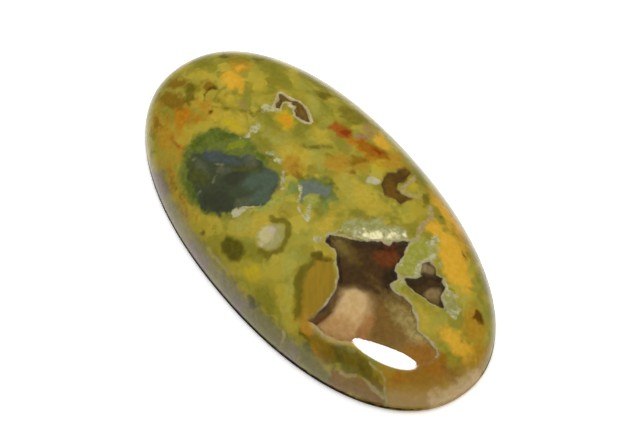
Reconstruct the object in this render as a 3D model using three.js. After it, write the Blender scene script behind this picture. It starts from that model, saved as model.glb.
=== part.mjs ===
// An oval cabochon of green and yellow rainforest rhyolite, as a three.js scene graph in millimetres.
//
// The stone is one solid piece. It was sawn to a slab, ground to an oval on a wheel, given a low crown that
// falls away quickly at its shoulder, and polished. Its back is flat, and the sharp lower edge is taken off
// with a narrow undercut bevel, so that the stone drops into a bezel without chipping.
// The origin is the middle of the flat back: +X runs along the oval, +Y across it, and +Z up through the crown.

import * as THREE from "three";

// Driving dimensions
const LENGTH = 50;
const WIDTH = 26;
const THICKNESS = 7;
// The oval is a little fuller than an ellipse, whose exponent is 2.
const PLAN_EXPONENT = 2.17;
// The upright band around the edge, which a bezel grips, ends at this height above the back.
const GIRDLE_TOP = 0.9;
// The undercut bevel under the girdle is as wide as it is high.
const BEVEL = 0.35;
// The crown is a superellipse from the girdle to the top: the first exponent keeps its middle nearly flat,
// and the second rounds the shoulder.
const CROWN_FLATNESS = 3.2;
const SHOULDER_ROUNDNESS = 1.8;

// Fineness of the facets
const STEPS_AROUND = 120;
const CROWN_STEPS = 22;
const BACK_STEPS = 2;

// A ring of the stone is an oval at one height: share is its size against the full oval, from 0 at the
// middle to 1 at the edge, and inset is how far it is drawn in from the edge, in millimetres.
const ring = (share, inset, height) => ({ share, inset, height });

// The back runs from its middle out to the bevel.
function backRings() {
  const rings = [];
  for (let i = 0; i <= BACK_STEPS; i++) rings.push(ring(i / BACK_STEPS, BEVEL, 0));
  return rings;
}

// The girdle is upright between the bevel and the crown.
function girdleRings() {
  return [ring(1, 0, BEVEL), ring(1, 0, GIRDLE_TOP)];
}

// The crown turns evenly from the girdle to the top, where it closes on one point.
function crownRings() {
  const rings = [];
  const rise = THICKNESS - GIRDLE_TOP;
  for (let i = 1; i < CROWN_STEPS; i++) {
    const turn = (Math.PI / 2) * (1 - i / CROWN_STEPS);
    const share = Math.sin(turn) ** (2 / CROWN_FLATNESS);
    const lift = Math.cos(turn) ** (2 / SHOULDER_ROUNDNESS);
    rings.push(ring(share, 0, GIRDLE_TOP + rise * lift));
  }
  rings.push(ring(0, 0, THICKNESS));
  return rings;
}

// The point of a ring in the direction that a point of the unit circle gives.
function pointOnRing({ share, inset, height }, across, along) {
  const norm = Math.abs(along) ** PLAN_EXPONENT + Math.abs(across) ** PLAN_EXPONENT;
  const fullness = norm ** (-1 / PLAN_EXPONENT);
  const x = along * fullness * share * (LENGTH / 2 - inset);
  const y = across * fullness * share * (WIDTH / 2 - inset);
  return [x, y, height];
}

// A lathe gives the closed shell and its facets. Each of its columns holds one point of every ring, and the
// points then move from the lathe's circles to the stone's ovals.
function stoneGeometry() {
  const rings = [...backRings(), ...girdleRings(), ...crownRings()];
  const profile = rings.map(({ share, height }) => new THREE.Vector2(share, height));
  const geometry = new THREE.LatheGeometry(profile, STEPS_AROUND);
  const position = geometry.getAttribute("position");
  for (let column = 0; column <= STEPS_AROUND; column++) {
    const turn = (2 * Math.PI * (column % STEPS_AROUND)) / STEPS_AROUND;
    rings.forEach((r, row) => {
      const vertex = column * rings.length + row;
      position.setXYZ(vertex, ...pointOnRing(r, Math.sin(turn), Math.cos(turn)));
    });
  }
  geometry.computeVertexNormals();
  return geometry;
}

const polishedRhyolite = new THREE.MeshStandardMaterial({
  name: "polished_rhyolite",
  color: 0xa39236,
  roughness: 0.12,
  metalness: 0,
});

const stone = new THREE.Mesh(stoneGeometry(), polishedRhyolite);
stone.name = "cabochon";

const cabochon = new THREE.Group();
cabochon.add(stone);

export default cabochon;
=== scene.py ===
# A polished oval cabochon of rainforest rhyolite on a white table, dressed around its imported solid.
# Blender's own lengths are metres. The tables of markings are in millimetres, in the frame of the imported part:
# +X along the oval, +Y across it, +Z up through the crown, and 0 in the middle of the flat back.

import math

import bpy
import numpy as np
from mathutils import Matrix, Vector


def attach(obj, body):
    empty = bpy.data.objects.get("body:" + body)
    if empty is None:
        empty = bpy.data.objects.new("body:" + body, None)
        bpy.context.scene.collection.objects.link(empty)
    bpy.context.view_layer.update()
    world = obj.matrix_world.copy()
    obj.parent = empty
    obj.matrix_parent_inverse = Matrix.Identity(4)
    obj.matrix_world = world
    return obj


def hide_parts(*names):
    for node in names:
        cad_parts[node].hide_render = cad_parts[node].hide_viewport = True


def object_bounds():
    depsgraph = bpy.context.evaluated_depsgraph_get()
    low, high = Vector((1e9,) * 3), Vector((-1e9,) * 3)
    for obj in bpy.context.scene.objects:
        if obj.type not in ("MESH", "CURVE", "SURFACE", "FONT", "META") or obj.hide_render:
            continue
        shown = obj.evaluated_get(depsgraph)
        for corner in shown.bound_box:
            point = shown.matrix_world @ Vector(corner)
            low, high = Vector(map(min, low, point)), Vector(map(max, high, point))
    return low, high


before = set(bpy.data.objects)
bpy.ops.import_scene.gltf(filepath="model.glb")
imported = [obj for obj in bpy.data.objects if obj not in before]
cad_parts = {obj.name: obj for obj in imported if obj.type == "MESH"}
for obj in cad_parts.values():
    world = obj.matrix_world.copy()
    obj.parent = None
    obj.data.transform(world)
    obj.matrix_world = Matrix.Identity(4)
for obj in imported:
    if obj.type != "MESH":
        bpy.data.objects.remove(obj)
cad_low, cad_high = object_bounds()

MM = 0.001

# The cut stone
# One solid piece of silicified rhyolite, sawn to a slab, ground to an oval on a wheel and domed by hand. A
# narrow upright girdle and an undercut bevel lead from its low crown to the flat back. The pockets, once gas
# bubbles, are shallow hollows in this piece, and the agate piece fills them.

HALF_LENGTH = (cad_high.x - cad_low.x) / 2 / MM
HALF_WIDTH = (cad_high.y - cad_low.y) / 2 / MM
THICKNESS = (cad_high.z - cad_low.z) / MM
PLAN_FULLNESS = 2.17
GIRDLE_TOP = 0.9
BEVEL = 0.35
CROWN_FLATNESS = 3.2
SHOULDER_ROUNDNESS = 1.8

STEPS_AROUND = 640
CROWN_ROWS = 146
BACK_ROWS = 4


def share_of_oval(x, y):
    """How far a place lies out from the middle: 0 there and 1 on the edge of the superellipse."""
    along = np.abs(x / HALF_LENGTH) ** PLAN_FULLNESS
    across = np.abs(y / HALF_WIDTH) ** PLAN_FULLNESS
    return (along + across) ** (1 / PLAN_FULLNESS)


def crown_height(share):
    """Height of the crown: a superellipse from the girdle's top at share 1 to the summit at share 0."""
    fall = np.clip(1 - share**CROWN_FLATNESS, 0, 1)
    return GIRDLE_TOP + (THICKNESS - GIRDLE_TOP) * fall ** (1 / SHOULDER_ROUNDNESS)


def crown_shares():
    """Rows from near the summit to the girdle, evenly spaced along the crown's profile at its mean radius."""
    turn = np.linspace(0, math.pi / 2, 4000)
    share = np.sin(turn) ** (2 / CROWN_FLATNESS)
    mean_radius = (HALF_LENGTH + HALF_WIDTH) / 2
    step = np.hypot(np.diff(share) * mean_radius, np.diff(crown_height(share)))
    run = np.concatenate([[0], np.cumsum(step)])
    return np.interp(np.linspace(0, run[-1], CROWN_ROWS + 1)[1:], run, share)


# Each row of the stone is one oval: its share, its inset from the edge and its height.
shares = crown_shares()
row_share = np.concatenate([shares, [1, 1], np.linspace(1, 0, BACK_ROWS + 1)[1:-1]])
row_inset = np.concatenate([0 * shares, [0, BEVEL], np.full(BACK_ROWS - 1, BEVEL)])
row_height = np.concatenate([crown_height(shares), [BEVEL, 0], np.zeros(BACK_ROWS - 1)])
turn = np.arange(STEPS_AROUND) * 2 * math.pi / STEPS_AROUND
fullness = share_of_oval(HALF_LENGTH * np.cos(turn), HALF_WIDTH * np.sin(turn)) ** -1
plan_x = np.outer(row_share * (HALF_LENGTH - row_inset), np.cos(turn) * fullness)
plan_y = np.outer(row_share * (HALF_WIDTH - row_inset), np.sin(turn) * fullness)
plan_z = np.repeat(row_height[:, None], STEPS_AROUND, axis=1)


def ripple(x, y, size, seed):
    """Smooth random relief between -1 and 1: seeded values on a square lattice, eased from knot to knot."""
    knots = np.random.default_rng(seed).uniform(-1, 1, (64, 64))
    u, v = x / size + 1000, y / size + 1000
    i, j = np.floor(u).astype(int), np.floor(v).astype(int)
    s, t = u - i, v - j
    s, t = s * s * (3 - 2 * s), t * t * (3 - 2 * t)
    low = knots[i % 64, j % 64] * (1 - s) + knots[(i + 1) % 64, j % 64] * s
    high = knots[i % 64, (j + 1) % 64] * (1 - s) + knots[(i + 1) % 64, (j + 1) % 64] * s
    return low * (1 - t) + high * t


# A marking is a body in the rock that leans as it goes down and closes, so below the crown it is read at a
# place shifted by the lean, and shrunk.
LEAN = (0.8, -0.6)
CLOSING = 0.12
crown_top = crown_height(np.minimum(share_of_oval(plan_x, plan_y), 1))
sunk = np.where(np.arange(len(row_share))[:, None] < CROWN_ROWS, 0, crown_top - plan_z)
PX = plan_x + LEAN[0] * sunk
PY = plan_y + LEAN[1] * sunk


def blob(x, y, half_length, half_width, tilt=0):
    """Depth in mm inside an oval, negative outside: one less the reach in half axes, times the shorter."""
    c, s = math.cos(math.radians(tilt)), math.sin(math.radians(tilt))
    along = ((PX - x) * c + (PY - y) * s) / half_length
    across = ((PY - y) * c - (PX - x) * s) / half_width
    return (1 - np.hypot(along, across)) * min(half_length, half_width)


def off_segment(a, b):
    """Distance in mm to the straight stretch from a to b."""
    ax, ay, dx, dy = a[0], a[1], b[0] - a[0], b[1] - a[1]
    k = np.clip(((PX - ax) * dx + (PY - ay) * dy) / (dx * dx + dy * dy), 0, 1)
    return np.hypot(PX - ax - k * dx, PY - ay - k * dy)


def vein(half_width, *points):
    """Depth in mm inside a line of that half width along the points."""
    return half_width - np.minimum.reduce([off_segment(a, b) for a, b in zip(points, points[1:])])


def outline(*points):
    """Depth in mm inside a closed outline: the distance to its nearest side, and inside is where a ray crosses
    an odd number of sides."""
    sides = list(zip(points, points[1:] + points[:1]))
    inside = np.zeros(PX.shape, bool)
    for (ax, ay), (bx, by) in sides:
        crosses = (ay > PY) != (by > PY)
        inside ^= crosses & (PX < ax + (PY - ay) * (bx - ax) / (by - ay + 1e-12))
    return np.where(inside, 1, -1) * np.minimum.reduce([off_segment(a, b) for a, b in sides])


def any_of(*shapes):
    """The union of several shapes is the deepest of their depths."""
    return np.maximum.reduce(shapes)


# The pockets, filled with agate. The biggest opens to the right into a broad brown body under the shoulder.
main_pocket = outline(
    (4.4, -1.7), (5.3, -0.8), (6.1, -0.3), (7.1, 0.6), (7.8, 1.4), (8.15, 2.1), (9.1, 2.6), (9.0, 3.1),
    (9.5, 4.0), (10.0, 5.2), (10.3, 4.0), (10.95, 3.1), (11.3, 2.0), (11.8, 1.25), (12.5, 1.1), (12.8, 1.4),
    (12.75, -0.1), (13.2, -0.3), (14.2, -0.1), (14.8, 0.3), (16.0, 0.2), (17.2, -0.1), (18.4, -0.8),
    (19.3, -0.5), (20.4, -0.4), (21.3, -0.6), (21.7, -1.4), (21.3, -2.6), (20.4, -3.8), (18.8, -5.0),
    (17.0, -6.0), (15.3, -6.7), (14.0, -7.9), (12.6, -8.5), (10.55, -8.9), (10.6, -7.7), (10.3, -6.0),
    (9.9, -4.9), (9.0, -3.9), (7.6, -3.05), (6.6, -2.4), (6.1, -2.2), (5.6, -2.5), (4.9, -2.5))
right_pocket = outline(
    (12.8, 5.0), (12.7, 4.1), (13.2, 3.5), (13.9, 3.2), (13.6, 2.4), (13.1, 1.6), (13.7, 1.25), (14.9, 1.5),
    (15.6, 1.85), (16.9, 2.15), (17.9, 3.0), (16.9, 3.3), (16.3, 4.4), (15.5, 4.6), (15.1, 5.0), (14.5, 4.5),
    (13.9, 5.0))
bent_pocket = outline(
    (-13.0, 4.75), (-12.4, 5.0), (-11.5, 5.2), (-11.0, 5.6), (-10.2, 5.8), (-9.4, 5.65), (-8.7, 5.35),
    (-8.0, 5.0), (-8.6, 4.6), (-9.5, 4.4), (-10.1, 4.6), (-10.5, 5.05), (-11.3, 5.05), (-11.8, 4.6),
    (-11.8, 4.1), (-11.4, 3.5), (-11.8, 3.3), (-12.3, 4.1))
high_pocket = outline(
    (2.0, 10.3), (2.0, 9.4), (2.4, 8.9), (1.8, 8.0), (2.2, 7.0), (2.9, 6.3), (4.0, 6.0), (5.0, 6.6),
    (5.8, 6.5), (5.75, 7.6), (6.0, 8.5), (5.5, 8.0), (4.7, 7.5), (3.9, 7.6), (3.4, 8.1), (3.6, 8.8),
    (3.1, 9.8), (2.5, 10.4))
ragged = 0.11 * ripple(plan_x, plan_y, 0.55, 3) + 0.07 * ripple(plan_x, plan_y, 0.24, 4)
pocket = any_of(main_pocket, right_pocket, bent_pocket, high_pocket) + ragged - 10 * (sunk > 0)

# The floor of a pocket lies deep where it looks dark, and rises where it glows.
WALL_WIDTH = 0.45
DEEP = 1.5
SHALLOW = 0.4


def eased(depth, soft):
    """From 0 to 1 across the edge of a shape, smoothly, over twice the softness in mm."""
    k = np.clip(depth / (2 * soft) + 0.5, 0, 1)
    return k * k * (3 - 2 * k)


glowing = outline(
    (9.8, -4.3), (10.6, -2.9), (12.0, -2.2), (13.0, -2.6), (13.7, -3.3), (14.5, -4.1), (14.9, -5.1),
    (15.4, -6.4), (14.4, -7.6), (12.9, -8.4), (11.3, -8.8), (11.3, -7.6), (11.1, -6.5), (10.5, -5.3))
rise = any_of(
    eased(glowing, 0.7),
    eased(blob(18.0, -3.0, 5.5, 3.4, 0), 1.2),
    eased(bent_pocket, 0.1),
    eased(high_pocket, 0.1) * 0.75,
    eased(blob(6.2, -1.5, 1.7, 0.9), 0.6) * 0.8,
    eased(blob(15.8, 3.2, 1.0, 1.2), 0.5) * 0.7,
    eased(blob(13.4, 4.2, 0.7, 0.7), 0.3))
floor_depth = DEEP + (SHALLOW - DEEP) * np.clip(rise, 0, 1)
floor_depth += 0.06 * ripple(plan_x, plan_y, 0.9, 5)
floor_depth *= 1 - 0.75 * eased(blob(20.8, -2.8, 3.0, 2.8), 0.9)
plan_z = plan_z - floor_depth * np.sin(np.clip(pocket / WALL_WIDTH, 0, 1) * math.pi / 2)


def closed_mesh(name, points, quads, triangles):
    """A smooth mesh of arrays of corners in mm, with its edges over 30 degrees kept sharp."""
    mesh = bpy.data.meshes.new(name)
    mesh.vertices.add(len(points))
    mesh.vertices.foreach_set("co", (points * MM).astype(np.float32).ravel())
    corners = np.concatenate([quads.ravel(), triangles.ravel()]).astype(np.int32)
    sizes = np.concatenate([np.full(len(quads), 4), np.full(len(triangles), 3)])
    mesh.loops.add(len(corners))
    mesh.loops.foreach_set("vertex_index", corners)
    mesh.polygons.add(len(sizes))
    mesh.polygons.foreach_set("loop_start", np.concatenate([[0], np.cumsum(sizes)[:-1]]).astype(np.int32))
    mesh.update(calc_edges=True)
    mesh.validate()
    mesh.shade_smooth()
    mesh.set_sharp_from_angle(angle=math.radians(30))
    piece = bpy.data.objects.new(name, mesh)
    bpy.context.scene.collection.objects.link(piece)
    return piece


rows, columns = plan_x.shape
number = np.arange(rows * columns).reshape(rows, columns)
beside = np.roll(number, -1, axis=1)
summit, back_middle = rows * columns, rows * columns + 1
ring_quads = np.stack([number[:-1], number[1:], beside[1:], beside[:-1]], -1).reshape(-1, 4)
crown_fan = np.stack([np.full(columns, summit), number[0], beside[0]], -1)
back_fan = np.stack([np.full(columns, back_middle), beside[-1], number[-1]], -1)
shell = np.stack([plan_x, plan_y, plan_z], -1).reshape(-1, 3)
shell = np.concatenate([shell, [[0, 0, THICKNESS], [0, 0, 0]]])
stone = closed_mesh("polished_stone", shell, ring_quads, np.concatenate([crown_fan, back_fan]))


def srgb(code):
    """A hex colour as the eye sees it, turned to the linear values that Blender mixes."""
    parts = [int(code[i : i + 2], 16) / 255 for i in (1, 3, 5)]
    return (*(p / 12.92 if p <= 0.04045 else ((p + 0.055) / 1.055) ** 2.4 for p in parts), 1)


# The thin lip of pale chalcedony that lines the pockets. It comes and goes, and it is missing round the far end
# of the big one, where the brown body fades into the ground, and round the high one.
LIP_WIDTH = 0.2
lip = np.minimum(pocket + LIP_WIDTH, -pocket) + 0.06 * ripple(plan_x, plan_y, 1.3, 10) - 0.01
no_lip = any_of(blob(19.8, -4.4, 4.6, 2.8, 30), blob(21.9, -1.9, 0.9, 1.2), high_pocket + 0.6)
lip = np.minimum(lip, -no_lip) - 10 * (sunk > 0)

# The outer band of the shoulder, and painted shade along the foot of the girdle on its near side: a dark band
# standing in for the stone's own shadow where it meets the table. It fades out towards both ends.
SHOULDER_START = 0.925
FOOT_HEIGHT = 0.3
FOOT_REACH = 0.62
FOOT_END = -4.5
FOOT_FADE = 30
shoulder = (share_of_oval(plan_x, plan_y) - SHOULDER_START) * HALF_WIDTH
painted_foot_shade = np.minimum(FOOT_REACH - np.abs(row_height[:, None] - FOOT_HEIGHT), (FOOT_END - plan_y) / FOOT_FADE)

# The way the crown faces, from its slope a hair to either side. Round the pockets the polished skin shades by
# this, as the grid's corners bend the light there.
HAIR = 0.01


def crown_at(x, y):
    """Height of the crown over a place, held just inside the edge of the oval."""
    return crown_height(np.minimum(share_of_oval(x, y), 0.999))


slope_x = (crown_at(plan_x + HAIR, plan_y) - crown_at(plan_x - HAIR, plan_y)) / (2 * HAIR)
slope_y = (crown_at(plan_x, plan_y + HAIR) - crown_at(plan_x, plan_y - HAIR)) / (2 * HAIR)
facing = np.stack([-slope_x, -slope_y, np.ones_like(slope_x)], -1)
facing = (facing / np.linalg.norm(facing, axis=-1, keepdims=True)).reshape(-1, 3)
facing = np.concatenate([facing, [[0, 0, 1], [0, 0, -1]]]).astype(np.float32)
stone.data.attributes.new("crown_facing", "FLOAT_VECTOR", "POINT").data.foreach_set("vector", facing.ravel())

# Nothing in the ground is a true oval, so the markings are read from a map that is pulled about a little.
PX = PX + 0.32 * ripple(plan_x, plan_y, 1.7, 6) + 0.13 * ripple(plan_x, plan_y, 0.6, 7)
PY = PY + 0.32 * ripple(plan_x, plan_y, 1.7, 8) + 0.13 * ripple(plan_x, plan_y, 0.6, 9)

# The markings, from the bottom layer up: a name, its main colour and its second colour, how much of the ground
# it hides, how softly its edge fades and how far the edge strays in mm, and its shapes. They were placed
# on an enlarged photograph, and the colours were tuned until renders matched it.
MARKINGS = (
    # Moss green and olive clouds in the ground.
    ("moss_clouds", "#7d7620", "#878026", 0.9, 0.5, 0.5, any_of(
        blob(-17.0, 6.3, 2.6, 0.9, 8), blob(-22.0, 0.9, 1.5, 0.9, 75), blob(-13.9, 4.1, 1.0, 0.9),
        blob(-7.9, 3.7, 1.3, 1.0, -20), blob(-10.8, 1.5, 1.7, 0.5), blob(-8.5, -0.4, 1.3, 0.5),
        blob(4.2, 2.2, 0.8, 0.9), blob(8.4, 5.4, 1.3, 0.4, 15), blob(6.6, 4.7, 0.9, 0.35, 25),
        blob(17.2, 9.0, 1.4, 0.5, -35), blob(15.6, 1.1, 1.5, 0.45, 12),
        blob(6.0, -10.8, 2.4, 0.6, 4), blob(-9.2, 7.9, 1.6, 0.4, -12), blob(-12.4, 9.2, 1.6, 0.6, 20),
        blob(1.2, -8.9, 1.4, 0.6, 30), blob(5.0, 5.7, 1.6, 0.35, 0), blob(3.8, 10.7, 1.6, 0.7, -10),
        blob(21.4, 0.6, 0.8, 0.3, 10), blob(-19.8, -6.0, 0.9, 0.5), blob(2.0, -0.9, 0.5, 0.8, 60))),
    ("moss_block", "#796d1c", "#827624", 0.95, 0.35, 0.35, any_of(
        outline((-8.3, 10.2), (-6.2, 11.1), (-4.9, 10.9), (-4.8, 9.0), (-5.8, 8.3), (-7.2, 8.1), (-8.2, 9.0)),
        blob(-1.8, -1.2, 0.7, 0.9, 40))),
    # Mustard yellow, where a little iron has stained the ground.
    ("mustard", "#b39b2c", "#bba438", 0.95, 0.55, 0.5, any_of(
        blob(-20.6, 0.1, 1.2, 0.5), blob(-12.9, -1.5, 1.7, 1.4, -20), blob(-5.6, 0.9, 2.0, 1.4, 10),
        blob(-15.4, 0.1, 1.4, 0.8), blob(2.4, 4.0, 2.9, 1.2, 8), blob(-15.0, -2.4, 1.7, 1.0, -20),
        blob(3.1, -1.2, 0.9, 1.8, 12), blob(-5.6, 4.8, 0.9, 0.8), blob(0.6, 7.8, 0.5, 1.0),
        blob(17.2, 5.9, 2.0, 0.6, -30), blob(7.8, -9.6, 1.9, 0.5, -35), blob(-1.3, -7.0, 0.6, 2.0, -15),
        blob(-6.0, -10.4, 2.0, 0.35, 12), blob(4.9, 3.6, 0.6, 0.5), blob(17.8, 0.4, 1.6, 0.6, -10),
        blob(6.2, -9.0, 0.7, 0.6), blob(-15.0, 3.7, 0.9, 0.5))),
    ("lemon", "#bfa91c", "#b49c26", 0.95, 0.4, 0.4, any_of(
        blob(2.6, -10.2, 1.2, 0.7, 8), blob(-12.8, -1.6, 1.0, 0.6, 10), blob(0.5, 7.7, 0.4, 0.8),
        blob(4.6, 9.2, 0.5, 0.35, -20), blob(-9.8, 3.0, 1.3, 1.1))),
    # Pale yellow green, where the ground holds more quartz.
    ("pale_ground", "#a0983a", "#a8a048", 0.75, 0.5, 0.5, any_of(
        blob(-9.6, 6.9, 2.4, 0.6, -6), blob(-1.9, -4.4, 0.6, 1.6, 0), blob(-2.4, -8.0, 0.9, 1.2, -30),
        blob(-3.2, 2.8, 0.7, 1.2, 60), blob(0.9, 3.4, 1.3, 0.5, -25), blob(7.0, -8.9, 0.5, 2.2, 48),
        blob(17.7, 5.6, 1.7, 0.35, -35), blob(-8.7, 0.7, 1.5, 0.3, 10), blob(4.7, -7.0, 0.6, 1.5, 30))),
    # Ochre and amber, warmer still.
    ("ochre", "#a8801f", "#b38a28", 0.95, 0.5, 0.5, any_of(
        blob(9.0, 10.5, 3.4, 0.8, -6), blob(20.9, 4.6, 2.0, 1.1, -35), blob(23.1, 2.6, 0.7, 1.6, 10),
        blob(-17.0, -7.6, 2.4, 0.9, -18), blob(-17.0, -2.8, 1.6, 0.8, -10), blob(-12.6, -9.9, 2.0, 0.45, -18),
        blob(-10.3, -10.7, 2.2, 0.4, -6), blob(-16.6, -6.4, 1.4, 0.7, -15), blob(0.8, 9.7, 1.1, 1.5),
        blob(-1.8, 4.3, 1.2, 1.3, -10), blob(-0.6, 6.2, 0.8, 1.2), blob(-13.9, -7.6, 0.4, 1.6, 20),
        blob(12.0, 10.2, 2.6, 0.7, -14), blob(-18.9, 3.8, 1.1, 1.0), blob(-4.6, 0.2, 1.0, 0.9),
        blob(-19.4, -6.8, 1.2, 0.4, -25),
        blob(22.6, -3.6, 0.9, 1.2, -15), blob(23.6, -1.6, 1.0, 2.4, 5), blob(23.6, 3.2, 0.8, 2.0, 20))),
    # The brown and olive skin round the far end of the big pocket, which runs on from its agate.
    ("end_ochre", "#997618", "#a37f22", 0.95, 0.4, 0.35, outline(
        (18.4, -6.0), (18.9, -6.8), (20.0, -7.0), (21.4, -6.6), (22.8, -5.6), (23.8, -4.2), (24.6, -2.2),
        (23.8, -1.2), (22.4, -1.6), (21.8, -2.8), (20.6, -4.2), (19.6, -5.2))),
    ("end_brown", "#8e610f", "#966914", 0.95, 0.45, 0.3, any_of(
        outline((20.2, -0.2), (21.9, 0.1), (23.4, -0.5), (23.8, -1.8), (23.0, -3.2), (22.0, -4.2), (20.8, -4.6),
                (19.6, -4.2)),
        blob(13.4, -9.2, 2.0, 0.5, 5))),
    ("end_amber", "#985f08", "#a0680c", 0.95, 0.4, 0.4, any_of(
        blob(22.0, -1.3, 1.2, 0.8, 10), blob(20.9, -5.3, 0.9, 0.6, 40), blob(13.0, -9.6, 0.9, 0.3))),
    ("end_violet", "#6a4520", "#744d24", 0.9, 0.35, 0.3, blob(23.7, -0.4, 1.0, 0.6, 20)),
    ("near_olive", "#7a6818", "#837222", 0.9, 0.4, 0.4, outline(
        (10.6, -9.6), (12.6, -8.9), (14.2, -8.3), (15.6, -7.2), (17.2, -6.5), (18.4, -6.4), (18.9, -7.2),
        (17.2, -8.6), (14.4, -9.6), (12.0, -10.6), (10.8, -10.4))),
    ("under_teal", "#58663e", "#64704a", 0.92, 0.35, 0.3, any_of(
        blob(15.6, -7.8, 1.1, 0.6, 25), blob(12.2, -10.7, 0.7, 0.4, 10))),
    ("under_dark", "#564d10", "#5f5516", 0.95, 0.35, 0.35, any_of(
        vein(0.6, (14.4, -8.8), (15.8, -8.6), (17.0, -7.7), (18.4, -7.3)), blob(11.2, -10.2, 0.9, 0.3, 10))),
    ("under_brown", "#6f5710", "#775f18", 0.9, 0.3, 0.3, blob(19.3, -7.0, 0.9, 0.5, 15)),
    ("dark_patch", "#534c10", "#5d5516", 0.96, 0.3, 0.1, outline(
        (-2.6, -9.8), (-1.9, -9.2), (-0.6, -9.2), (0.4, -9.6), (0.6, -10.4), (-0.2, -11.0), (-1.4, -11.1),
        (-2.4, -10.7))),
    # Gold, the brightest of the iron stains.
    ("gold", "#d4a22a", "#dbaa36", 0.97, 0.45, 0.4, any_of(
        blob(9.0, 10.5, 2.6, 0.7, -6),
        blob(14.4, 7.1, 2.9, 1.5, -12), blob(9.8, 8.2, 0.8, 1.0, -40), blob(12.2, 8.5, 2.1, 1.1, 0),
        blob(21.4, 1.9, 2.0, 0.9, 8), blob(-17.7, 1.9, 1.6, 1.0, -12), blob(-18.9, 3.8, 0.4, 0.35),
        blob(-2.0, 10.5, 1.6, 0.8))),
    ("orange_dot", "#cf9618", "#c88c16", 0.97, 0.22, 0.1, blob(-9.5, 3.0, 0.75, 0.7)),
    # Orange, rust and brown iron.
    ("orange", "#ad6d0c", "#b57a18", 0.95, 0.35, 0.4, any_of(
        blob(-17.7, -5.0, 1.4, 1.0, 8), blob(-15.9, -4.2, 0.5, 0.35, 20), blob(-17.3, -6.0, 0.6, 0.4),
        blob(10.9, -9.5, 0.9, 0.4, -30), blob(-1.6, 8.0, 1.9, 1.0, 12),
        blob(-3.3, 7.3, 0.9, 0.5), blob(12.9, -10.0, 0.7, 0.2, -8))),
    ("brown_cloud", "#7e5d12", "#866514", 0.92, 0.4, 0.45, any_of(
        blob(-20.2, -4.3, 1.8, 1.0, 12), blob(-21.6, -2.4, 1.3, 0.7, 10), blob(-18.8, -0.5, 0.9, 0.6, 10),
        blob(-1.0, 6.1, 0.5, 0.8, -15), blob(-0.2, 5.0, 0.4, 0.3), blob(23.7, -0.2, 0.5, 0.9),
        blob(-3.4, 0.1, 0.5, 0.3), blob(16.8, -8.1, 1.6, 0.6, -14), blob(14.3, -9.1, 1.2, 0.4, -10),
        blob(-11.0, -10.2, 1.2, 0.2, -8), blob(-19.0, -7.1, 0.6, 0.25, -20))),
    ("iron_brown", "#955d0c", "#9e6814", 0.95, 0.3, 0.35, outline(
        (-2.8, 7.6), (-2.6, 8.8), (-1.4, 9.2), (-0.4, 10.0), (0.4, 9.2), (-0.3, 8.3), (-0.7, 7.5),
        (-1.9, 7.3))),
    ("rust", "#98500f", "#a05a1c", 0.95, 0.28, 0.25, any_of(
        outline((-6.4, 6.1), (-6.8, 7.2), (-6.0, 7.6), (-5.2, 8.0), (-4.3, 8.3), (-3.6, 7.8), (-4.0, 7.0),
                (-4.6, 6.4), (-5.6, 6.5)),
        blob(-2.6, 8.4, 0.4, 0.25, -20), blob(-15.3, -7.4, 0.7, 0.13))),
    ("rust_core", "#7d3208", "#84380a", 0.9, 0.25, 0.2, any_of(
        outline((-5.2, 6.9), (-5.0, 7.7), (-4.3, 8.1), (-4.1, 7.2)), blob(-0.9, 9.0, 0.5, 0.2, 20))),
    ("pink_tan", "#977248", "#a08058", 0.85, 0.25, 0.3, any_of(
        blob(-3.4, 8.7, 0.4, 0.8, -20), blob(-4.2, 9.9, 0.6, 0.4), blob(-14.1, 0.7, 0.5, 0.3),
        blob(-2.9, 6.6, 0.5, 0.3))),
    # Dark olive chalcedony.
    ("dark_olive", "#665810", "#706218", 0.9, 0.3, 0.35, any_of(
        blob(-10.6, 9.0, 0.9, 0.5, 35), blob(-19.6, -2.1, 1.0, 0.6, -4), blob(6.6, 9.6, 1.0, 0.4, -50),
        blob(-21.6, 3.7, 0.5, 0.4), blob(-18.9, -2.7, 0.7, 0.7), blob(-19.1, 6.1, 0.5, 0.6, -30),
        blob(5.8, -4.3, 0.8, 0.5, 10), blob(16.4, -7.9, 1.4, 0.5, -14), blob(-12.8, 0.8, 0.4, 0.15, -30),
        blob(-14.4, -0.6, 0.9, 0.12, 42), blob(-4.9, 3.8, 1.1, 0.22, 52), blob(7.0, 9.1, 0.6, 0.35, -40),
        blob(20.9, -6.7, 0.7, 0.25, 10), blob(18.0, -7.1, 0.9, 0.3, 10), blob(-2.8, 0.4, 0.35, 0.5, 20))),
    ("umber_spots", "#553000", "#613c08", 0.95, 0.2, 0.16, any_of(
        blob(20.35, 5.95, 0.65, 0.5, -30),
        vein(0.14, (-18.4, -0.2), (-18.2, -0.8), (-17.9, -1.5), (-17.4, -2.2)),
        blob(-15.7, -2.6, 0.2, 0.25), blob(-18.0, -0.2, 0.35, 0.2, 20), blob(20.4, 5.4, 0.25, 0.3),
        blob(13.5, 8.9, 0.5, 0.15, -10), blob(9.1, 9.4, 0.15, 0.2))),
    # The big dark eye: green chalcedony round a nearly black core with slate blue and teal lights.
    ("eye_rim", "#5d682a", "#68742c", 0.95, 0.4, 0.35, any_of(
        blob(-8.6, -5.8, 5.4, 4.6, -5), blob(-0.7, 0.3, 2.0, 1.8))),
    ("green_bridge", "#70802e", "#7e8a4a", 0.92, 0.3, 0.3, any_of(
        blob(-2.1, -1.6, 0.7, 1.4, 30), blob(-2.5, -5.0, 0.4, 1.2, 5), blob(1.4, 0.4, 0.4, 1.2, 20))),
    ("eye_rim_dark", "#46540f", "#53621a", 0.8, 0.4, 0.4, any_of(
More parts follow.
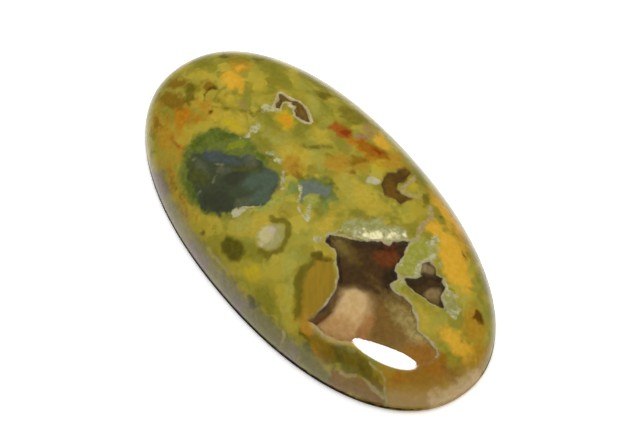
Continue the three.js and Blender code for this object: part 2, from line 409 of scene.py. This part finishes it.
        blob(-12.1, -3.2, 1.1, 0.5, 50), blob(-13.1, -5.7, 0.6, 0.9), blob(-8.9, -9.6, 1.4, 0.35, -6),
        blob(-7.6, -1.3, 1.3, 0.4, 10), blob(-0.6, 1.6, 1.0, 0.35, 0))),
    ("eye_core", "#3d4532", "#434a30", 0.97, 0.22, 0.22, outline(
        (-12.2, -6.5), (-11.4, -5.2), (-10.6, -4.4), (-9.5, -4.0), (-8.8, -3.1), (-8.2, -2.2), (-7.2, -1.9),
        (-6.4, -2.2), (-5.7, -1.9), (-4.9, -1.5), (-3.9, -1.7), (-3.1, -2.5), (-2.7, -3.8), (-2.5, -4.9),
        (-3.2, -6.2), (-3.4, -7.2), (-4.2, -8.5), (-5.4, -9.3), (-6.8, -9.9), (-8.2, -9.8), (-9.6, -9.3),
        (-11.0, -8.9), (-12.2, -8.1), (-12.8, -7.2))),
    ("eye_slate", "#474e51", "#4d5453", 0.85, 0.4, 0.3, any_of(
        blob(-10.8, -5.4, 1.2, 0.75, 30), blob(-9.2, -4.6, 0.9, 0.5, 20), blob(-8.4, -3.0, 0.5, 0.7, -50))),
    ("eye_teal", "#4b5a47", "#525f4b", 0.95, 0.5, 0.3, any_of(
        blob(-4.6, -2.8, 1.4, 1.3, 0), blob(-3.7, -4.4, 0.9, 1.3), blob(-5.6, -4.0, 0.8, 1.4, -30))),
    ("eye_night", "#363929", "#3c3b2b", 0.8, 0.5, 0.4, any_of(
        blob(-6.2, -8.2, 1.9, 1.3, 15), blob(-7.4, -5.4, 0.9, 1.6))),
    ("eye_olive", "#484b1f", "#525524", 0.9, 0.35, 0.35, any_of(
        blob(-10.0, -8.2, 1.3, 0.8, 5), blob(-7.3, -3.9, 0.4, 1.2, -40), blob(-11.9, -8.0, 0.8, 0.35, -20))),
    ("eye_grey", "#565840", "#606246", 0.8, 0.4, 0.35, any_of(
        blob(-8.9, -6.1, 0.7, 0.7, -20), blob(-11.1, -7.2, 1.0, 0.4), blob(-7.9, -3.0, 0.8, 0.7, -40),
        blob(-4.0, -6.6, 0.6, 0.9))),
    ("eye_chips", "#6c6a50", "#777458", 0.8, 0.12, 0.2, any_of(
        blob(-8.7, -7.0, 0.2, 0.45, 30), blob(-9.8, -5.9, 0.4, 0.2, 30), blob(-11.9, -7.4, 0.2, 0.25),
        blob(-8.5, -9.2, 0.25, 0.4, 20))),
    ("blue_eye", "#646c5e", "#6c7466", 0.95, 0.3, 0.3, any_of(
        blob(-1.1, 0.2, 1.3, 1.2, 30), blob(0.1, 0.9, 0.8, 0.5, -50), blob(-0.7, -1.0, 0.6, 0.4, -40))),
    # Light green chips, the tongue between the two pockets, and the small eye's pale half.
    ("light_green", "#929336", "#a2a14a", 0.95, 0.18, 0.2, any_of(
        blob(0.2, -0.7, 0.8, 0.6, 30), vein(0.3, (-2.1, -3.2), (-2.1, -4.4), (-2.2, -5.4), (-2.7, -6.8)),
        outline((9.9, 6.6), (10.3, 4.9), (11.0, 3.1), (11.8, 1.4), (12.6, 1.5), (13.3, 2.6), (12.6, 3.8),
                (12.5, 5.4), (11.6, 6.8)),
        outline((13.0, 1.25), (14.3, 0.15), (13.05, -0.25)))),
    ("chip", "#7a8018", "#838a24", 0.95, 0.15, 0.15, outline(
        (-10.9, -3.7), (-10.8, -2.2), (-10.2, -1.9), (-9.7, -2.6), (-9.9, -3.7), (-10.5, -4.0))),
    # The striped leaf beside the big pocket.
    ("leaf", "#9b7a1c", "#8d731c", 0.95, 0.2, 0.15, outline(
        (6.3, -2.9), (7.6, -3.2), (9.0, -4.1), (9.8, -5.0), (10.2, -6.2), (10.5, -7.8), (10.4, -9.3),
        (9.9, -9.8), (8.4, -8.9), (7.0, -7.4), (6.0, -5.9), (5.6, -4.6))),
    ("leaf_border", "#655a10", "#6e6214", 0.92, 0.3, 0.25, vein(
        0.45, (5.6, -4.6), (6.2, -6.2), (7.4, -7.9), (9.2, -9.3))),
    ("leaf_spot", "#5a4a0a", "#63540e", 0.9, 0.25, 0.25, any_of(
        blob(5.8, -4.2, 0.7, 0.45, 15), blob(6.8, -3.3, 0.5, 0.2, 50))),
    ("leaf_foot", "#ae8128", "#b68b2e", 0.9, 0.3, 0.3, any_of(
        blob(10.6, -9.5, 0.9, 0.5, -5), blob(9.8, -8.9, 0.5, 0.4))),
    # The olive, brown and rosy skin of the lower shoulder, under a painted reflection of the white table.
    ("shoulder_olive", "#6a6526", "#746e30", 0.9, 0.4, 0.4, any_of(
        blob(14.0, -10.7, 3.4, 0.7, 14), blob(16.6, -8.8, 1.2, 0.35, 24),
        np.minimum(shoulder + 0.1, blob(6.0, -12.6, 6.0, 2.4)))),
    # Painted reflection: grey green laid over the near shoulder's outer band, where it mirrors the white table.
    ("shoulder_grey_reflection", "#786f48", "#827854", 0.75, 0.45, 0.5, any_of(
        np.minimum(shoulder, blob(-8.0, -12.6, 12.5, 3.2)), np.minimum(shoulder, blob(4.0, -12.9, 1.6, 0.8)))),
    # Painted reflection: lilac laid on the outermost part of that band.
    ("shoulder_lilac_reflection", "#7a6763", "#826f6a", 0.6, 0.3, 0.4, np.minimum(shoulder - 0.45, any_of(
        blob(-14.0, -11.4, 2.0, 1.4), blob(-4.0, -13.0, 1.8, 0.9), blob(3.2, -13.0, 0.8, 0.9),
        blob(11.0, -12.3, 1.4, 0.8)))),
    ("shoulder_dark", "#4e4a24", "#575230", 0.85, 0.2, 0.25, any_of(
        blob(4.7, -12.1, 0.6, 0.2, 5), blob(-4.9, -11.6, 0.3, 0.2))),
    ("rim_tan", "#a8833f", "#ac8743", 0.8, 1.0, 0.12, np.minimum(shoulder - 0.2, any_of(
        blob(23.6, -4.0, 3.6, 3.4), blob(25.0, -0.5, 1.1, 3.4)))),
    # Painted reflection: cream along the very rim at the right end, where it mirrors the white table.
    ("rim_cream_reflection", "#cdab70", "#d6b67e", 0.8, 0.25, 0.2, np.minimum(
        shoulder - 0.65, blob(25.0, -0.6, 1.4, 3.6))),
    ("shoulder_rose", "#7f5a12", "#8a631a", 0.92, 0.2, 0.25, vein(
        0.65, (16.4, -9.9), (17.8, -9.3), (19.2, -8.5), (20.8, -7.5))),
    ("shoulder_line", "#a09052", "#a89a5e", 0.85, 0.09, 0.1, any_of(
        vein(0.1, (16.4, -9.3), (17.4, -8.8), (18.6, -8.1), (19.9, -7.4), (20.9, -7.0)),
        vein(0.12, (18.0, -6.5), (19.0, -6.3), (19.6, -6.2), (20.6, -6.7), (21.5, -6.8)),
        vein(0.12, (-3.0, -11.9), (0.0, -12.0), (1.4, -11.6)), vein(0.15, (9.0, -11.2), (9.6, -11.6)))),
    # Pale chalcedony: crusts, the orb and loose grains.
    ("orb_ring", "#6a5f14", "#74691c", 0.92, 0.2, 0.25, vein(
        0.35, (-0.7, -5.4), (0.1, -4.6), (1.2, -4.6), (2.2, -5.5), (2.5, -6.7), (2.2, -7.9), (1.4, -8.5))),
    ("orb", "#9c9456", "#a69e64", 0.95, 0.25, 0.25, blob(0.8, -6.6, 1.25, 1.45)),
    ("orb_cream", "#bfb27c", "#c8bb88", 0.95, 0.25, 0.25, any_of(
        blob(0.2, -7.0, 0.9, 0.8), blob(0.7, -8.2, 0.2, 0.15))),
    ("orb_lilac", "#b8a690", "#c0b09c", 0.9, 0.2, 0.2, blob(0.25, -6.3, 0.45, 0.45)),
    ("crust_haze", "#929252", "#a4a26e", 0.85, 0.3, 0.4, any_of(
        outline((4.3, 0.4), (4.5, 1.4), (5.3, 2.1), (5.6, 3.1), (6.1, 3.9), (7.2, 4.2), (8.0, 4.7),
                (8.9, 5.0), (9.8, 4.8), (9.6, 3.6), (9.2, 2.6), (8.5, 1.7), (7.7, 1.0), (6.6, 0.2),
                (5.4, -0.2), (4.6, -0.1)),
        blob(17.5, 4.0, 0.9, 0.5, 10), blob(12.0, 5.9, 0.8, 0.5, -60))),
    ("tan_crust", "#a08a56", "#b09c6a", 0.9, 0.12, 0.15, any_of(
        outline((4.0, 7.9), (3.6, 9.1), (3.0, 10.6), (3.6, 10.4), (4.0, 9.1), (4.7, 8.3), (5.5, 8.4),
                (6.0, 9.2), (6.3, 8.8), (5.6, 8.0), (4.7, 7.7)),
        vein(0.28, (7.7, 9.1), (8.8, 8.2), (9.4, 6.5), (10.0, 5.8)))),
    ("grey_crust", "#9a9664", "#c0ba8a", 0.95, 0.14, 0.35, any_of(
        outline((5.0, 0.3), (5.9, 1.3), (6.6, 2.2), (7.3, 3.1), (8.0, 4.1), (8.8, 4.9), (9.8, 4.8), (9.6, 3.6),
                (9.2, 2.6), (8.5, 1.7), (7.7, 1.0), (6.4, 0.1)),
        vein(0.22, (4.9, -0.5), (4.4, -1.8), (4.0, -3.0)), blob(4.1, -3.1, 0.45, 0.35, 20),
        outline((-11.8, 1.6), (-12.7, 2.4), (-12.4, 3.1), (-11.8, 3.6), (-11.2, 3.6), (-11.3, 3.1),
                (-11.6, 2.1)),
        vein(0.35, (15.5, 5.2), (16.4, 4.7), (17.4, 4.8)),
        vein(0.25, (16.4, 3.8), (17.2, 3.6), (18.0, 3.4), (18.8, 3.7)),
        vein(0.3, (12.3, 6.1), (12.5, 5.3), (12.6, 3.8), (13.4, 3.2)), blob(11.0, 7.1, 0.4, 0.6),
        blob(-10.7, -0.1, 0.5, 0.45),
        vein(0.13, (-10.9, -0.6), (-10.7, -1.4), (-11.0, -2.3), (-10.95, -3.0)),
        vein(0.12, (-8.3, -1.3), (-7.4, -0.7), (-6.8, -0.4), (-6.3, -0.8), (-5.6, -0.5)),
        vein(0.02, (-4.3, -0.9), (-3.4, -1.9), (-2.7, -2.7)),
        vein(0.2, (-2.8, -5.4), (-3.1, -6.2), (-3.2, -6.9), (-3.6, -7.6), (-4.0, -8.0)),
        vein(0.14, (-2.2, -0.6), (-1.4, -1.1), (-0.6, -1.9), (0.6, -2.4), (1.6, -2.6)),
        blob(0.9, -1.9, 0.5, 0.22, -40),
        blob(-11.1, 4.7, 0.45, 0.3), vein(0.12, (11.0, 3.2), (11.3, 2.2), (11.8, 1.4), (12.6, 1.3)),
        vein(0.12, (12.9, 1.3), (12.95, -0.3), (14.2, -0.2)), blob(13.5, 5.6, 0.5, 0.25, -20))),
    ("cream", "#ebe0a5", "#f9f1bf", 0.95, 0.18, 0.3, any_of(
        vein(0.4, (6.6, 1.6), (7.6, 2.5)), blob(8.6, 3.5, 0.5, 0.35, 50), blob(9.2, 4.7, 0.2, 0.15, 60))),
    ("white_grain", "#bdb794", "#b3ab86", 0.95, 0.15, 0.12, any_of(
        blob(1.9, 6.15, 0.55, 0.5, 40), blob(-3.5, -7.6, 0.35, 0.2, 40))),
    ("bent_outline", "#c8b48a", "#d4c49e", 0.9, 0.1, 0.16, np.minimum(bent_pocket + 0.3, -bent_pocket)),
    # Painted shade: near-black low on the near girdle, standing in for the stone's own shadow at the table.
    ("painted_foot_shade", "#241818", "#1e1516", 1.0, 0.06, 0.05, painted_foot_shade),
    # What shows through the agate, on the floors of the pockets. The pale floor where the big pocket glows is
    # painted light.
    ("pocket", "#6b5d40", "#605138", 1.0, 0.03, 0.0, pocket),
    ("pocket_brown", "#8a6c2c", "#806226", 1.0, 0.8, 0.3, np.minimum(pocket, blob(17.6, -3.6, 5.5, 3.6, 0))),
    ("pocket_speckle", "#bcae6c", "#a09258", 0.9, 0.7, 0.4, np.minimum(pocket, blob(16.2, -0.7, 4.2, 1.1, -2))),
    ("pocket_olive", "#948640", "#86783a", 0.9, 0.5, 0.3, np.minimum(pocket, blob(6.5, -1.2, 1.8, 0.9))),
    ("pocket_amber", "#9e6d11", "#93630e", 1.0, 0.8, 0.3, np.minimum(pocket, blob(21.2, -2.0, 2.2, 2.0, 10))),
    ("pocket_night", "#50452c", "#463c26", 0.95, 0.5, 0.3, np.minimum(pocket, blob(11.9, 0.2, 1.3, 0.9, -30))),
    # Painted light: these two pale floors stand in for light shining up through the agate.
    ("pocket_glow", "#e2cd9e", "#dac18c", 1.0, 0.8, 0.15, np.minimum(pocket, glowing)),
    ("pocket_tan_glow", "#c4a06a", "#bb955c", 0.85, 0.7, 0.2, np.minimum(pocket, blob(13.0, -7.2, 2.8, 1.3, 35))),
    ("pocket_rosy", "#b98850", "#b47e46", 0.8, 0.6, 0.2, np.minimum(pocket, any_of(
        vein(0.5, (14.5, -4.2), (15.0, -5.4), (15.4, -6.6)), vein(0.35, (15.3, -6.8), (14.0, -7.8))))),
    ("pocket_fold", "#785326", "#6e491d", 0.95, 0.25, 0.08, np.minimum(pocket, any_of(
        vein(0.2, (10.9, -6.6), (10.9, -7.6), (11.0, -8.6)), vein(0.08, (10.2, -5.0), (10.7, -6.4))))),
    ("pocket_red", "#a66939", "#945a31", 0.9, 0.5, 0.3, np.minimum(pocket, blob(9.8, 1.9, 1.0, 1.5, -20))),
    ("pocket_ochre", "#8e701f", "#846618", 1.0, 0.3, 0.2, np.minimum(
        pocket, any_of(bent_pocket, high_pocket + 0.3))),
    ("pocket_dusk", "#705818", "#665014", 0.8, 0.4, 0.3, np.minimum(pocket, blob(2.8, 8.7, 0.9, 0.9, 20))),
    ("pocket_lump", "#ae9e70", "#a09062", 0.9, 0.3, 0.2, np.minimum(pocket, any_of(
        blob(13.4, 4.2, 0.6, 0.7), blob(15.8, 3.0, 0.8, 1.0)))),
    ("lip", "#b3a878", "#a39766", 0.85, 0.05, 0.06, lip),
)
for label, _, _, _, _, _, depth in MARKINGS:
    values = np.concatenate([(depth - CLOSING * sunk).ravel(), [depth[0].mean(), -1]])
    stone.data.attributes.new(label, "FLOAT", "POINT").data.foreach_set("value", values.astype(np.float32))

# Silicified rhyolite, ground on wheels and buffed with fine oxide: opaque and mottled, with a mirror polish
# like glass. The refractive index is that of quartz.
QUARTZ_INDEX = 1.54


def node(material, kind, settings=None, **links):
    """Adds a shader node. Settings are its own properties, and links are its inputs, by name or by number, as
    values or sockets."""
    made = material.node_tree.nodes.new(kind)
    for key, value in (settings or {}).items():
        setattr(made, key, value)
    for key, value in links.items():
        socket = made.inputs[int(key[1:]) if key[0] == "i" and key[1:].isdigit() else key.replace("_", " ")]
        if isinstance(value, bpy.types.NodeSocket):
            material.node_tree.links.new(value, socket)
        else:
            socket.default_value = value
    return made


SMOOTH = {"interpolation_type": "SMOOTHSTEP"}
COLOURS = {"data_type": "RGBA"}
TIMES = {"operation": "MULTIPLY"}
TIMES_PLUS = {"operation": "MULTIPLY_ADD"}
rhyolite = bpy.data.materials.new("buffed_rhyolite")
rhyolite.use_nodes = True
rhyolite.node_tree.nodes.clear()
place = node(rhyolite, "ShaderNodeTexCoord").outputs["Object"]

# Cloudy noise of several sizes in mm: the clouds of the ground, the stray of every edge, fine flecks, and the
# streaks of the leaf, which are drawn out along it.
grain = {}
for label, size, detail, squash, tilt in (
        ("clouds", 2.8, 3, (1, 1, 1), 0), ("stray", 0.9, 5, (1, 1, 1), 0),
        ("flecks", 0.5, 4, (1, 1, 1), 0), ("streaks", 0.5, 2, (6, 1, 2), -42)):
    turned = node(
        rhyolite, "ShaderNodeMapping", {"vector_type": "TEXTURE"},
        Vector=place, Rotation=(0, 0, math.radians(tilt)), Scale=squash).outputs[0]
    grain[label] = node(
        rhyolite, "ShaderNodeTexNoise", None,
        Vector=turned, Scale=1 / (size * MM), Detail=detail, Roughness=0.55)

# The ground is welded shards of 1 to 2 mm, a little lighter or darker than each other, with blurred edges.
SHARD = 1.5
BEND = 1.2
wander = node(
    rhyolite, "ShaderNodeMapping", None,
    Vector=grain["stray"].outputs["Color"], Scale=(BEND * MM,) * 3).outputs[0]
bent = node(rhyolite, "ShaderNodeMapping", None, Vector=place, Location=wander).outputs[0]
shards = node(
    rhyolite, "ShaderNodeTexVoronoi", {"feature": "SMOOTH_F1"},
    Vector=bent, Scale=1 / (SHARD * MM), Smoothness=0.15).outputs["Color"]
shard = node(rhyolite, "ShaderNodeSeparateColor", None, i0=shards).outputs
colour = node(
    rhyolite, "ShaderNodeMix", COLOURS, i0=shard[1], i6=srgb("#877b20"), i7=srgb("#b3a33a")).outputs[2]
greener = node(rhyolite, "ShaderNodeMapRange", None, i0=shard[0], i1=0.55, i2=1.0, i4=0.7).outputs[0]
colour = node(rhyolite, "ShaderNodeMix", COLOURS, i0=greener, i6=colour, i7=srgb("#8a8a34")).outputs[2]
clouds = grain["clouds"].outputs[0]
for low, high, most, tint in ((0.5, 0.66, 0.7, "#838026"), (0.5, 0.36, 0.7, "#b09c30")):
    amount = node(rhyolite, "ShaderNodeMapRange", SMOOTH, i0=clouds, i1=low, i2=high, i4=most).outputs[0]
    colour = node(rhyolite, "ShaderNodeMix", COLOURS, i0=amount, i6=colour, i7=srgb(tint)).outputs[2]

# Each marking covers what lies under it. Its edge strays with the noise, and its two colours mix in flecks. The
# noises come in by their colours: Cycles turns each to a number late, so it takes the markings one by one and
# its store of values doesn't run over.
stray_noise = node(
    rhyolite, "ShaderNodeMapRange", {"clamp": False},
    i0=grain["stray"].outputs["Color"], i1=0.35, i2=0.65, i3=-1.0, i4=1.0).outputs[0]
mix = {}
for pattern in ("flecks", "streaks"):
    noise = grain[pattern].outputs["Color"]
    mix[pattern] = node(rhyolite, "ShaderNodeMapRange", SMOOTH, i0=noise, i1=0.41, i2=0.59).outputs[0]
for label, main, second, most, soft, stray, _ in MARKINGS:
    inside = node(rhyolite, "ShaderNodeAttribute", {"attribute_name": label}).outputs["Fac"]
    edge = node(rhyolite, "ShaderNodeMath", TIMES_PLUS, i0=stray_noise, i1=stray, i2=inside).outputs[0]
    amount = node(rhyolite, "ShaderNodeMapRange", SMOOTH, i0=edge, i1=-soft, i2=soft, i4=most).outputs[0]
    blend = mix["streaks" if "leaf" in label else "flecks"]
    two_tone = node(rhyolite, "ShaderNodeMix", COLOURS, i0=blend, i6=srgb(main), i7=srgb(second)).outputs[2]
    colour = node(rhyolite, "ShaderNodeMix", COLOURS, i0=amount, i6=colour, i7=two_tone).outputs[2]

# The crown is buffed, but the floors of the pockets are rough, as the agate grew on them. Round their edges the
# skin shades as the smooth crown does.
BUFFED = 0.08
FLOOR_STARTS = 0.05
in_pocket = node(rhyolite, "ShaderNodeAttribute", {"attribute_name": "pocket"}).outputs["Fac"]
finish = node(
    rhyolite, "ShaderNodeMapRange", None, i0=in_pocket, i1=0.0, i2=FLOOR_STARTS, i3=BUFFED, i4=1.0).outputs[0]
near_pocket = node(rhyolite, "ShaderNodeMapRange", None, i0=in_pocket, i1=-0.7, i2=-0.5).outputs[0]
outside = node(
    rhyolite, "ShaderNodeMapRange", None, i0=in_pocket, i1=0.0, i2=FLOOR_STARTS, i3=1.0, i4=0.0).outputs[0]
round_pocket = node(rhyolite, "ShaderNodeMath", TIMES, i0=near_pocket, i1=outside).outputs[0]
own_facing = node(rhyolite, "ShaderNodeNewGeometry").outputs["Normal"]
smooth_facing = node(rhyolite, "ShaderNodeAttribute", {"attribute_name": "crown_facing"}).outputs["Vector"]
shading = node(
    rhyolite, "ShaderNodeMix", {"data_type": "VECTOR"},
    i0=round_pocket, i4=own_facing, i5=smooth_facing).outputs[1]
polish = node(
    rhyolite, "ShaderNodeBsdfPrincipled", None,
    Base_Color=colour, Roughness=finish, IOR=QUARTZ_INDEX, Normal=shading)
node(rhyolite, "ShaderNodeOutputMaterial", None, Surface=polish.outputs[0])
stone.data.materials.append(rhyolite)
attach(stone, "root")
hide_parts("cabochon")

# The agate in the pockets
# Clear brown agate that seeped into the gas pockets and filled them. It was ground and polished with the
# rest, so its face lies flush with the crown, and the highlights run straight across it.

FACE_BELOW_CROWN = 0.012
GRIP = 0.45
BED = 0.35
filled = pocket[:CROWN_ROWS] > -GRIP
cell = filled[:-1] & filled[1:] & np.roll(filled, -1, 1)[:-1] & np.roll(filled, -1, 1)[1:]
top_number = number[:CROWN_ROWS]
top_beside = np.roll(top_number, -1, axis=1)
corner = [top_number[:-1], top_number[1:], top_beside[1:], top_beside[:-1]]
top = np.stack(corner, -1)[cell]
under = top[:, ::-1] + number.size
open_left = cell & ~np.roll(cell, 1, 1)
open_right = cell & ~np.roll(cell, -1, 1)
open_in = cell & ~np.concatenate([np.zeros((1, columns), bool), cell[:-1]])
open_out = cell & ~np.concatenate([cell[1:], np.zeros((1, columns), bool)])
walls = []
for edge, a, b in ((open_left, 0, 1), (open_out, 1, 2), (open_right, 2, 3), (open_in, 3, 0)):
    one, two = corner[a][edge], corner[b][edge]
    walls.append(np.stack([two, one, one + number.size, two + number.size], -1))
agate_faces = np.concatenate([top, under, *walls])
face = crown_top - FACE_BELOW_CROWN
agate_points = np.concatenate([
    np.stack([plan_x, plan_y, face], -1).reshape(-1, 3),
    np.stack([plan_x, plan_y, np.minimum(plan_z, face) - BED], -1).reshape(-1, 3)])
used, renumbered = np.unique(agate_faces, return_inverse=True)
agate = closed_mesh("pocket_agate", agate_points[used], renumbered.reshape(-1, 4), np.zeros((0, 3), int))

# Clear brown agate: it refracts like quartz, and its iron soaks up blue first, so thin agate looks honey
# coloured and deep agate dark brown.
honey = bpy.data.materials.new("clear_brown_agate")
honey.use_nodes = True
honey.node_tree.nodes.clear()
clear = node(
    honey, "ShaderNodeBsdfPrincipled", None,
    Base_Color=(1, 1, 1, 1), Roughness=0.05, IOR=QUARTZ_INDEX, Transmission_Weight=1.0)
soak = node(honey, "ShaderNodeVolumeAbsorption", None, Color=(0.75, 0.6, 0.32, 1), Density=800.0)
node(honey, "ShaderNodeOutputMaterial", None, Surface=clear.outputs[0], Volume=soak.outputs[0])
agate.data.materials.append(honey)
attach(agate, "root")
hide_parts("cabochon")

# The table
# A plain sheet of frosted opal acrylic, so wide that its edge is out of sight. It gives a faint light of its
# own, so that no shadow greys it. The stone covers an opening in it, through which its back is seen from
# below. A hair of space under the back keeps the two surfaces apart.

TABLE_REACH = 1500
SEAT_WIDTH = 1.2
SEAT_GAP = 0.01
TABLE_GLOW = 0.32
around = np.stack([np.cos(turn), np.sin(turn)], -1)
opening = around * fullness[:, None] * (HALF_LENGTH - SEAT_WIDTH, HALF_WIDTH - SEAT_WIDTH)
rings = np.concatenate([opening, around * TABLE_REACH])
rings = np.column_stack([rings, np.full(len(rings), -SEAT_GAP)]) * MM
inner = np.arange(STEPS_AROUND)
following = np.roll(inner, -1)
sheet = np.stack([inner, inner + STEPS_AROUND, following + STEPS_AROUND, following], -1)
board = bpy.data.meshes.new("table")
board.from_pydata(rings.tolist(), [], sheet.tolist())
table = bpy.data.objects.new("table", board)
bpy.context.scene.collection.objects.link(table)
card = bpy.data.materials.new("frosted_opal_acrylic")
card.use_nodes = True
card.node_tree.nodes.clear()
matt = node(
    card, "ShaderNodeBsdfPrincipled", None, Base_Color=srgb("#fbfaf8"), Roughness=0.9,
    Emission_Color=(1, 1, 1, 1), Emission_Strength=TABLE_GLOW)
node(card, "ShaderNodeOutputMaterial", None, Surface=matt.outputs[0])
board.materials.append(card)
table.visible_glossy = False

# The light
# It is arranged rather than physical. A wide sheet over the stone lights it but isn't mirrored, and an oval
# softbox is only mirrored, as the highlight. What the shoulder mirrors is a white sweep, fixed in the world and
# seen by glossy rays alone, with dark parts that stand in for the stone's own shade. Light from below, for
# diffuse rays alone, reaches the back through the table's opening.


def sheet_of_light(name, place, turn, size, radiance, shape="RECTANGLE"):
    """A level sheet of light that faces down, turned about the upright. Its power is pi times its area times
    the radiance of its face."""
    light = bpy.data.lights.new(name, "AREA")
    light.shape = shape
    light.size, light.size_y = size
    light.energy = radiance * math.pi * size[0] * size[1] * (math.pi / 4 if shape == "ELLIPSE" else 1)
    lamp = bpy.data.objects.new(name, light)
    lamp.matrix_world = Matrix.Translation(place) @ Matrix.Rotation(math.radians(turn), 4, "Z")
    bpy.context.scene.collection.objects.link(lamp)
    return lamp


softbox = sheet_of_light("softbox", (0.220, -0.172, 0.6), 40, (0.38, 0.235), 26.0, "ELLIPSE")
softbox.visible_diffuse = False
softbox.visible_transmission = False
ceiling = sheet_of_light("ceiling", (-0.25, 0.19, 1.2), 0, (1.5, 1.5), 3.0)
ceiling.visible_glossy = False

ROOM_GLOW = 0.05
BACKDROP_GLOW = 0.97
FRONT = (0.8, -0.6, 0.0)
SWEEP_MIDDLE = (0.388, -0.291, -0.875)
FAR_SWEEP_GLOW = 1.15
FRONT_SWEEP_GLOW = 0.8
UNDER_GLOW = 0.7
DOT = {"operation": "DOT_PRODUCT"}
world = bpy.data.worlds.new("studio")
world.use_nodes = True
world.node_tree.nodes.clear()
look = node(world, "ShaderNodeTexCoord").outputs["Generated"]
into_sweep = node(world, "ShaderNodeVectorMath", DOT, i0=look, i1=SWEEP_MIDDLE).outputs["Value"]
to_front = node(world, "ShaderNodeVectorMath", DOT, i0=look, i1=FRONT).outputs["Value"]
down = node(world, "ShaderNodeVectorMath", DOT, i0=look, i1=(0, 0, -1)).outputs["Value"]
rays = node(world, "ShaderNodeLightPath").outputs
edge = node(world, "ShaderNodeMapRange", SMOOTH, i0=into_sweep, i1=-0.05, i2=0.35).outputs[0]
shade = node(world, "ShaderNodeMapRange", SMOOTH, i0=into_sweep, i1=0.86, i2=0.95, i3=1.0, i4=0.0).outputs[0]
contact = node(world, "ShaderNodeMapRange", SMOOTH, i0=down, i1=0.78, i2=0.85, i3=1.0, i4=0.0).outputs[0]
low_behind = node(world, "ShaderNodeMapRange", SMOOTH, i0=down, i1=0.1, i2=0.6).outputs[0]
behind = node(world, "ShaderNodeMapRange", SMOOTH, i0=to_front, i1=-0.1, i2=-0.5).outputs[0]
far_edge = node(world, "ShaderNodeMath", TIMES, i0=low_behind, i1=behind).outputs[0]
wide_edge = node(world, "ShaderNodeMath", {"operation": "MAXIMUM"}, i0=edge, i1=far_edge).outputs[0]
sweep_glow = node(
    world, "ShaderNodeMapRange", None,
    i0=to_front, i1=-1.0, i2=1.0, i3=FAR_SWEEP_GLOW, i4=FRONT_SWEEP_GLOW).outputs[0]
shaded = node(world, "ShaderNodeMath", TIMES, i0=wide_edge, i1=shade).outputs[0]
grounded = node(world, "ShaderNodeMath", TIMES, i0=shaded, i1=contact).outputs[0]
mirrored = node(world, "ShaderNodeMath", TIMES, i0=grounded, i1=rays["Is Glossy Ray"]).outputs[0]
room = node(world, "ShaderNodeMath", TIMES_PLUS, i0=mirrored, i1=sweep_glow, i2=ROOM_GLOW).outputs[0]
under = node(world, "ShaderNodeMapRange", None, i0=down, i1=0.0, i2=0.2, i4=UNDER_GLOW).outputs[0]
all_round = node(world, "ShaderNodeMath", TIMES_PLUS, i0=under, i1=rays["Is Diffuse Ray"], i2=room).outputs[0]
strength = node(
    world, "ShaderNodeMix", {"data_type": "FLOAT"},
    i0=rays["Is Camera Ray"], i2=all_round, i3=BACKDROP_GLOW).outputs[0]
sky = node(world, "ShaderNodeBackground", None, Color=(1, 1, 1, 1), Strength=strength)
node(world, "ShaderNodeOutputWorld", None, Surface=sky.outputs[0])
bpy.context.scene.world = world

# The camera
# It looks down on the stone from 60 degrees, with the oval lying from upper left to lower right.

CAMERA_AZIMUTH, CAMERA_ELEVATION, CAMERA_DISTANCE = 53.1, 60.0, 0.3
PIXELS_PER_MM = 9.426
PICTURE_WIDTH = 640
AIM = Vector((0.0002, 0.00026, 0.0035))
lens = bpy.data.cameras.new("camera")
lens.sensor_width = 36
lens.lens = PIXELS_PER_MM / MM * CAMERA_DISTANCE * lens.sensor_width / PICTURE_WIDTH
lens.clip_start, lens.clip_end = 0.01, 10
camera = bpy.data.objects.new("camera", lens)
swing, lift = math.radians(CAMERA_AZIMUTH), math.radians(CAMERA_ELEVATION)
back = Vector((math.sin(swing) * math.cos(lift), -math.cos(swing) * math.cos(lift), math.sin(lift)))
aimed = back.to_track_quat("Z", "Y").to_matrix().to_4x4()
camera.matrix_world = Matrix.Translation(AIM + back * CAMERA_DISTANCE) @ aimed
bpy.context.scene.collection.objects.link(camera)
bpy.context.scene.camera = camera
bpy.context.scene.view_settings.view_transform = "Standard"
